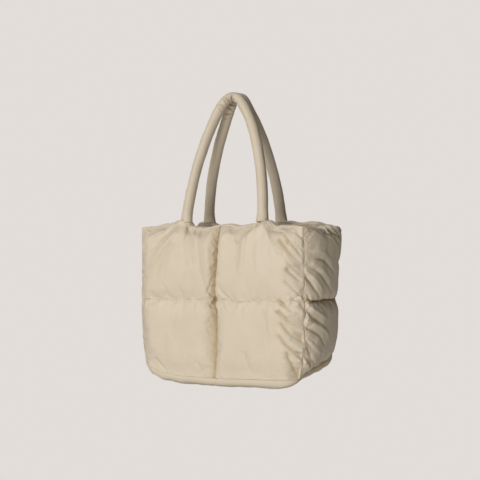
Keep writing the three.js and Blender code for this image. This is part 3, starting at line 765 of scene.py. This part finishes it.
# Handles: padded tubes along a pointed arch. At a share s of its height the arch is as wide as
# (1 - s^power)^round of the span; both lean in and lie side by side on top. The steps along are
# (t + t^3) / 2 of an even step t from the crook, so they are closest where it creases. A crease is its share
# along, its turn from the inner side towards the front, its depth and width in mm, its slant and its
# half-width in turns.
footCreases = [(0.03, 0.1, 0.8, 1.8, 0.4, 0.12), (0.965, 0.1, 0.8, 1.8, -0.4, 0.12)]
frontHandle = dict(
    name="front_handle_tube", node="front_handle", side=-1, footY=footY["front"], span=0.184, round=0.60,
    aside=-0.0025, diameter=0.0222, flare=1.14, pinch=0.90, power=1.65, crookRound=0.5, footFlare=0.16,
    footReach=0.007, pressed=0.006, sink=0.002, flat=0.80, seamDeep=0.0007, seamWide=0.0012,
    steps=480, sides=48, seed=31,
    creases=[
        (0.43, 0.16, 1.6, 1.6, 0.5, 0.12), (0.445, 0.18, 2.4, 1.6, -0.3, 0.13),
        (0.466, 0.2, 2.8, 1.8, 0.4, 0.15), (0.478, 0.18, 3.4, 1.8, -0.5, 0.16),
        (0.487, 0.14, 2.4, 1.6, 0.6, 0.12), (0.501, 0.17, 5.2, 2.4, 0.3, 0.17),
        (0.512, 0.1, 3.6, 2.2, -0.4, 0.12), (0.54, 0.1, 1.2, 1.6, -0.4, 0.12), *footCreases,
    ],
)
backHandle = dict(
    frontHandle, name="back_handle_tube", node="back_handle", side=1, footY=footY["back"], span=0.178,
    round=0.76, aside=-0.001, seed=47,
    creases=[
        (0.405, 0.2, 1.2, 1.6, 0.4, 0.12), (0.425, 0.16, 2.6, 1.8, -0.4, 0.17),
        (0.446, 0.2, 3.2, 1.8, 0.5, 0.18), (0.462, 0.14, 4.2, 2.2, -0.3, 0.2),
        (0.474, 0.2, 3.4, 1.8, 0.4, 0.18), (0.49, 0.15, 3.6, 2, 0, 0.2), (0.512, 0.12, 1.6, 1.8, 0.4, 0.16),
        *footCreases,
    ],
)

# A crease's raised shoulders beside it, then its true depth and how deep it is where its painted shade is full
creaseForm = dict(shoulder=0.0035, shoulderWide=0.003, shoulderRise=0.35, scale=0.0012, darkest=3.8)


# Places along a path, read off between its points
def sampled(values, length, at):
    return np.stack([np.interp(at, length, values[:, k]) for k in range(3)], axis=1)


# Rings round the centre line, wider at the feet, narrower at the crook, plus rumples, less the creases
def handleTube(look):
    radius = look["diameter"] / 2
    apexY = look["side"] * (radius * look["pinch"] + bag["seamGap"] / 2)
    low, high = footZ + bag["seamGap"] - look["sink"], radius * look["pinch"]
    s = 1 - (1 - np.linspace(0, 1, 3000)) ** 3
    half = look["span"] / 2 * (1 - s ** look["power"]) ** mix(look["round"], look["crookRound"], s ** 16)
    rising = np.stack([-half, mix(look["footY"], apexY, s), mix(low, high, s)], axis=1)
    path = np.concatenate([rising, rising[-2::-1] * (-1, 1, 1)])
    path[:, 0] += look["aside"] * swell(path[:, 2] + 0.060, 0.060)
    length = lengthsAlong(path)
    total = length[-1]
    even = np.linspace(-1, 1, look["steps"] + 1)
    along = 0.5 + (even + even ** 3) / 4
    centre = sampled(path, length, along * total)
    tangent = unit(np.gradient(centre, axis=0))
    across = unit(np.array([0, 1, 0]) - tangent * tangent[:, 1:2])
    outwards = np.cross(across, tangent)
    fromFoot = np.minimum(along, 1 - along) * 2
    size = radius * mix(look["flare"], 1, swell(fromFoot, 0.10))
    size = size * mix(look["pinch"], 1, swell(1 - fromFoot, 0.16))
    size = size * (1 + look["footFlare"] * np.exp(-fromFoot * total / 2 / look["footReach"]))
    turns = np.arange(look["sides"])[None, :] / look["sides"]
    around = turns * 2 * np.pi
    place = (along * total)[:, None]
    ripple = rumpleSheet(place / 0.030 + 5, 2 + np.cos(around) + 0 * place, look["seed"]) * 0.0004
    ripple += rumpleSheet(place / 0.011, 3 + 1.5 * np.sin(around) + 0 * place, look["seed"] + 1) * 0.00022
    shade = np.zeros(ripple.shape)
    for share, angle, deep, wide, slant, half in look["creases"]:
        turn = (turns - angle + 0.5) % 1 - 0.5
        away = np.abs(place - share * total - slant * turn * 0.03)
        window = np.exp(-(turn / half) ** 2)
        bell = np.exp(-away / (wide * mm)) * window
        shoulder = np.exp(-((away - creaseForm["shoulder"]) / creaseForm["shoulderWide"]) ** 2) * window
        ripple -= (bell - creaseForm["shoulderRise"] * shoulder) * deep * creaseForm["scale"]
        # Painted shade in each crease, darker the deeper it is
        shade += bell ** 1.5 * deep / creaseForm["darkest"]
    seam = np.exp(-np.abs(turns - 0.5) * 2 * np.pi * radius / look["seamWide"]) + 0 * place
    thick = size[:, None] + ripple - seam * look["seamDeep"]
    flat = mix(look["flat"], 1, swell(fromFoot, 0.10))[:, None]
    points = centre[:, None] + across[:, None] * (thick * flat * np.cos(around + np.pi / 2))[:, :, None]
    points = points + outwards[:, None] * (thick * np.sin(around + np.pi / 2))[:, :, None]
    # The last few mm of each foot are pressed flat onto the rim
    press = swell(look["pressed"] - np.minimum(place, total - place), look["pressed"])
    points[:, :, 2] = mix(points[:, :, 2], low + np.abs(points[:, :, 2] - low) * 0.5, press)
    points[[0, -1], :, 2] = low
    index, quads = closedNet(*points.shape[:2])
    faces = quads[:, [0, 3, 2, 1]].tolist() + [index[0][::-1].tolist(), index[-1].tolist()]
    uv = np.stack([around * radius + 0 * place, place + 0 * turns], axis=2)
    # Painted shade along the seam's groove too
    shade = clamp(shade + seam * 0.6)
    return finishMesh(meshOf(look["name"], points, faces), uv, shade, 0 * shade)


print("handles")
for look in (frontHandle, backHandle):
    built[look["node"]] = handleTube(look)

# Thread: short rounded stitches along the seams, all made as one array
thread = dict(pitch=0.0036, long=0.0025, thick=0.00028, lift=0.00012, sides=6,
              rings=[(0, 0.35), (0.15, 0.85), (0.5, 1), (0.85, 0.85), (1, 0.35)])   # share along, thickness


# Stitches along a path: each is a rod with rounded ends, raised a little off the cloth
def stitchesAlong(path, normal):
    length = lengthsAlong(path)
    middles = np.arange(thread["pitch"], length[-1] - thread["pitch"], thread["pitch"])
    start, end = (sampled(path, length, middles + sense * thread["long"] / 2) for sense in (-1, 1))
    up = unit(sampled(normal, length, middles))
    run = end - start
    sideways = unit(np.cross(run, up))
    shares, thickness = np.array(thread["rings"]).T * ((1,), (thread["thick"],))
    angle = 2 * np.pi * np.arange(thread["sides"]) / thread["sides"]
    centre = start[:, None] + run[:, None] * shares[None, :, None] + up[:, None] * thread["lift"]
    ring = up[:, None, :] * np.cos(angle)[None, :, None] + sideways[:, None, :] * np.sin(angle)[None, :, None]
    points = centre[:, :, None] + ring[:, None] * thickness[None, :, None, None]
    index, quads = closedNet(*points.shape[1:3])
    ends = np.stack([index[0], index[-1][::-1]])
    shift = np.arange(len(points))[:, None, None] * index.size
    return points.reshape(-1, 3), [*(quads + shift).reshape(-1, 4).tolist(),
                                   *(ends + shift).reshape(-1, thread["sides"]).tolist()]


print("stitches")
threadPoints, threadFaces, made = [], [], 0
for node, piece in pieces.items():
    outer, normal = piece["outer"], normalsOf(piece["outer"], piece["turn"])
    columns, rows = outer.shape[:2]
    lines = [] if node == "base_panel" else [(slice(3, -3), rows // 2)]
    if node in panels:
        lines.append((columns // 2, slice(3, -8)))
    for line in lines:
        points, faces = stitchesAlong(outer[line], normal[line])
        threadPoints.append(points)
        threadFaces += [[corner + made for corner in face] for face in faces]
        made += len(points)
points, plain = np.concatenate(threadPoints), np.zeros(made)
stitches = finishMesh(meshOf("seam_stitches", points, threadFaces), points[:, :2], plain, plain)


# Wraps a socket so that shader maths reads as plain expressions: + - * and powers add Math nodes
class Wire:
    def __init__(self, tree, socket):
        self.tree, self.socket = tree, socket

    # Adds a node: settings first, then the values or links of its sockets
    def add(self, kind, settings, inputs, output=0):
        node = self.tree.nodes.new(kind)
        for key, value in settings.items():
            setattr(node, key, value)
        for key, value in inputs.items():
            if isinstance(value, Wire):
                self.tree.links.new(value.socket, node.inputs[key])
            else:
                node.inputs[key].default_value = value
        return Wire(self.tree, node.outputs[output])

    def maths(self, operation, first, second=0.0):
        return self.add("ShaderNodeMath", {"operation": operation}, {0: first, 1: second})

    # The first colour at 0 and the second at 1
    def blend(self, *colours):
        low, high = (colour if isinstance(colour, Wire) else (*colour, 1) for colour in colours)
        return self.add("ShaderNodeMix", {"data_type": "RGBA"}, {"Factor": self, 6: low, 7: high}, 2)

    def sine(self):
        return self.maths("SINE", self)

    def held(self, low, high):
        return self.maths("MINIMUM", self.maths("MAXIMUM", self, low), high)

    def __add__(self, other):
        return self.maths("ADD", self, other)

    def __sub__(self, other):
        return self.maths("SUBTRACT", self, other)

    def __rsub__(self, other):
        return self.maths("SUBTRACT", other, self)

    def __mul__(self, other):
        return self.maths("MULTIPLY", self, other)

    def __pow__(self, other):
        return self.maths("POWER", self, other)

    __radd__, __rmul__ = __add__, __mul__


nylon = dict(
    # The deep colour is painted shade for the creases and seams
    cloth=(0.655, 0.573, 0.447), deep=(0.400, 0.285, 0.135), worn=(0.700, 0.620, 0.500),
    # The lining: the inner faces' own pinker tone, made lighter as painted light where the inside of the bag
    # lies in shade
    lining=(0.700, 0.600, 0.480), roughness=0.47, sheen=0.16, sheenRoughness=0.4, shine=0.35,
    weavePitch=0.0011, weaveHeight=0.00005, crinkleSize=0.011, crinkleHeight=0.0005,
    broadSize=0.055, broadHeight=0.0012,
)


# Nylon: a fine plain weave, sin(u) * sin(v), under soft crinkles; painted shade makes it darker and warmer in
# the creases and seams
def nylonMaterial(name, look):
    material = bpy.data.materials.new(name)
    material.use_nodes = True
    tree = material.node_tree
    shader = tree.nodes["Principled BSDF"]
    start = Wire(tree, None)
    uv = start.add("ShaderNodeUVMap", {"uv_map": "cloth"}, {})
    u, v = (uv.add("ShaderNodeSeparateXYZ", {}, {0: uv}, k) for k in (0, 1))
    crease = start.add("ShaderNodeAttribute", {"attribute_name": "crease"}, {}, "Fac")
    lining = start.add("ShaderNodeAttribute", {"attribute_name": "lining"}, {}, "Fac")
    turns = 2 * np.pi / look["weavePitch"]
    weave = (u * turns).sine() * (v * turns).sine()
    broad = start.add("ShaderNodeTexNoise", {}, {
        "Vector": uv, "Scale": 1 / look["broadSize"], "Detail": 3.0, "Distortion": 0.8})
    crinkle = start.add("ShaderNodeTexNoise", {}, {
        "Vector": uv, "Scale": 1 / look["crinkleSize"], "Detail": 4.0, "Roughness": 0.6, "Distortion": 1.4})
    # Inner faces take the lining colour, which is partly painted light
    tone = lining.blend((broad * 1.6 - 0.4).held(0, 1).blend(look["cloth"], look["worn"]), look["lining"])
    # Painted shade: darker and warmer where the crease attribute marks seams and fold valleys
    tone = (crease ** 1.5 * 0.8 + (crinkle - 0.5) * 0.06).held(0, 1).blend(tone, look["deep"])
    rough = look["roughness"] + (crinkle - 0.5) * 0.16 + crease * 0.10
    bump = {}
    for name, height in (("broadHeight", broad), ("crinkleHeight", crinkle), ("weaveHeight", weave)):
        sockets = {"Strength": 1.0, "Distance": look[name], "Height": height, **bump}
        bump = {"Normal": start.add("ShaderNodeBump", {}, sockets)}
    for socket, wire in {"Base Color": tone, "Roughness": rough, **bump}.items():
        tree.links.new(wire.socket, shader.inputs[socket])
    for socket, name in (("Sheen Weight", "sheen"), ("Sheen Roughness", "sheenRoughness"),
                         ("Specular IOR Level", "shine")):
        shader.inputs[socket].default_value = look[name]
    return material


print("materials")
clothMaterial = nylonMaterial("puffer_nylon", nylon)
# The handles: the bag's nylon made a little darker, as painted shade for the dimmer light on them, with a much
# darker painted shade in their creases
handleMaterial = nylonMaterial("handle_nylon", dict(
    nylon, cloth=(0.610, 0.530, 0.410), worn=(0.650, 0.575, 0.460), deep=(0.210, 0.175, 0.115),
    broadHeight=0.0004, crinkleHeight=0.0002, crinkleSize=0.008))
threadMaterial = nylonMaterial("sewing_thread", dict(
    nylon, cloth=(0.60, 0.52, 0.38), worn=(0.62, 0.54, 0.40),
    broadHeight=0.0, crinkleHeight=0.0, roughness=0.7, weavePitch=0.0006))
for node, piece in built.items():
    soft = node.endswith("handle")
    piece.data.materials.append(handleMaterial if soft else clothMaterial)
    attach(piece, "root")
    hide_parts(node)
stitches.data.materials.append(threadMaterial)
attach(stitches, "root")

# Studio: a pale floor well below the bag, a pale surround, one soft key from the front left, light that
# the floor would throw back, and a weak light for the rear
studio = dict(
    backdrop=(0.7605, 0.7230, 0.6939), surround=(0.165, 0.154, 0.141), centreZ=-0.36,
    floorZ=-1.1, floorRadius=14.0, floorSides=96,
    key=dict(turn=-12, rise=24, away=4.2, size=3.0, power=134, colour=(1.0, 0.975, 0.945)),
    bounce=dict(turn=33, rise=-36, away=4.0, size=3.0, power=58, colour=(1.0, 0.965, 0.91)),
    rear=dict(turn=225, rise=14, away=4.2, size=3.0, power=60, colour=(1.0, 0.97, 0.93)),
)


# A round lamp that faces the bag's middle from a turn about it and a rise above it, in degrees
def addLight(name, turn, rise, away, size, power, colour):
    light = bpy.data.lights.new(name, "AREA")
    light.shape, light.size, light.energy, light.color = "DISK", size, power, colour
    turn, rise = np.radians(turn), np.radians(rise)
    towards = Vector((np.sin(turn) * np.cos(rise), -np.cos(turn) * np.cos(rise), np.sin(rise)))
    lamp = addObject(name, light)
    lamp.location = Vector((0, 0, studio["centreZ"])) + towards * away
    lamp.rotation_euler = (-towards).to_track_quat("-Z", "Y").to_euler()


print("studio")
world = bpy.data.worlds.new("studio_surround")
bpy.context.scene.world = world
world.use_nodes = True
tree = world.node_tree
background = tree.nodes["Background"]
seen = Wire(tree, None).add("ShaderNodeLightPath", {}, {}, "Is Camera Ray")
tree.links.new(seen.blend(studio["surround"], studio["backdrop"]).socket, background.inputs["Color"])
background.inputs["Strength"].default_value = 1.0

angle = np.linspace(0, 2 * np.pi, studio["floorSides"], endpoint=False)
ring = np.stack([np.cos(angle), np.sin(angle), 0 * angle], axis=1) * studio["floorRadius"]
ring[:, 2] = studio["floorZ"]
floor = addObject("studio_floor", meshOf("studio_floor", ring, [list(range(len(ring)))]))
floorMaterial = bpy.data.materials.new("studio_paper")
floorMaterial.use_nodes = True
paper = floorMaterial.node_tree.nodes["Principled BSDF"]
for socket, value in {"Base Color": (0, 0, 0, 1), "Specular IOR Level": 0.0,
                      "Emission Color": (*studio["backdrop"], 1), "Emission Strength": 1.0}.items():
    paper.inputs[socket].default_value = value
floor.data.materials.append(floorMaterial)
floor.visible_diffuse = floor.visible_glossy = floor.visible_shadow = False
for name in ("key", "bounce", "rear"):
    addLight(name + "_light", **studio[name])

# Camera at the photograph's angle: 31 degrees round to the right, level with the upper part of the bag. Its
# focal length and its tilt are in pixels of a picture that is 480 wide.
view = dict(turn=31, away=2.2, aside=0.0074, height=-0.284, focal=1045, below=3, picture=480, sensor=36)
turn, tilt = np.radians(view["turn"]), np.arctan(view["below"] / view["focal"])
back = Vector((np.sin(turn), -np.cos(turn), 0))
right = Vector((np.cos(turn), np.sin(turn), 0))
lens = bpy.data.cameras.new("camera")
lens.lens = view["sensor"] * view["focal"] / view["picture"]
lens.sensor_width, lens.clip_end = view["sensor"], 100
camera = addObject("camera", lens)
camera.location = back * view["away"] + right * view["aside"] + Vector((0, 0, view["height"]))
looking = -back * np.cos(tilt) - Vector((0, 0, 1)) * np.sin(tilt)
camera.rotation_euler = looking.to_track_quat("-Z", "Y").to_euler()
bpy.context.scene.camera = camera
bpy.context.scene.view_settings.view_transform = "Standard"

for piece in built.values():
    print(piece.name, sum(len(face.vertices) - 2 for face in piece.data.polygons), "triangles")
bpy.context.view_layer.update()
